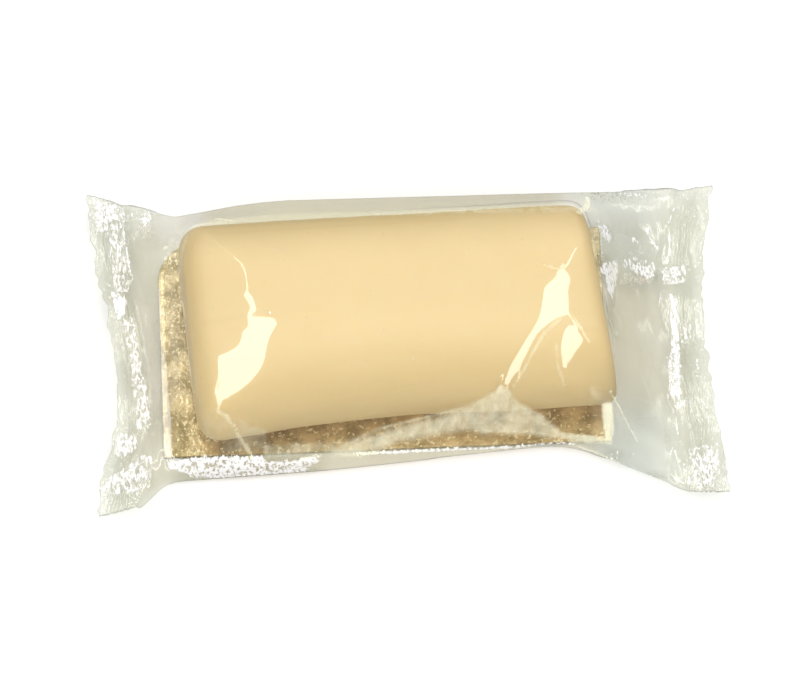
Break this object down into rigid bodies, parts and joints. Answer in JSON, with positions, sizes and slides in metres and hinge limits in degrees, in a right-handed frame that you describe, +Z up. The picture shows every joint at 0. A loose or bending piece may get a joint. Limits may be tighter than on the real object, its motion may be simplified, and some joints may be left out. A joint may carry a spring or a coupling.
{
  "type": "wrapped marzipan log",
  "caption": "Flattened roll of pale marzipan lying on a gold card, sealed in a loose clear flow-wrapped bag with a crimped zigzag seal at each end.",
  "frame": {"origin": "on the surface that the bag rests on, under the middle of the bag's box", "axes": "+X along the log to its right-hand end, +Y from the front of the bag to its back, +Z up"},
  "size_m": [0.1346, 0.0752, 0.0315],
  "materials": {
    "film": "gloss",
    "marzipan": "satin",
    "gold_card": "gloss"
  },
  "bodies": {
    "root": {"sealed_bag": "film"}
  },
  "joints": []
}
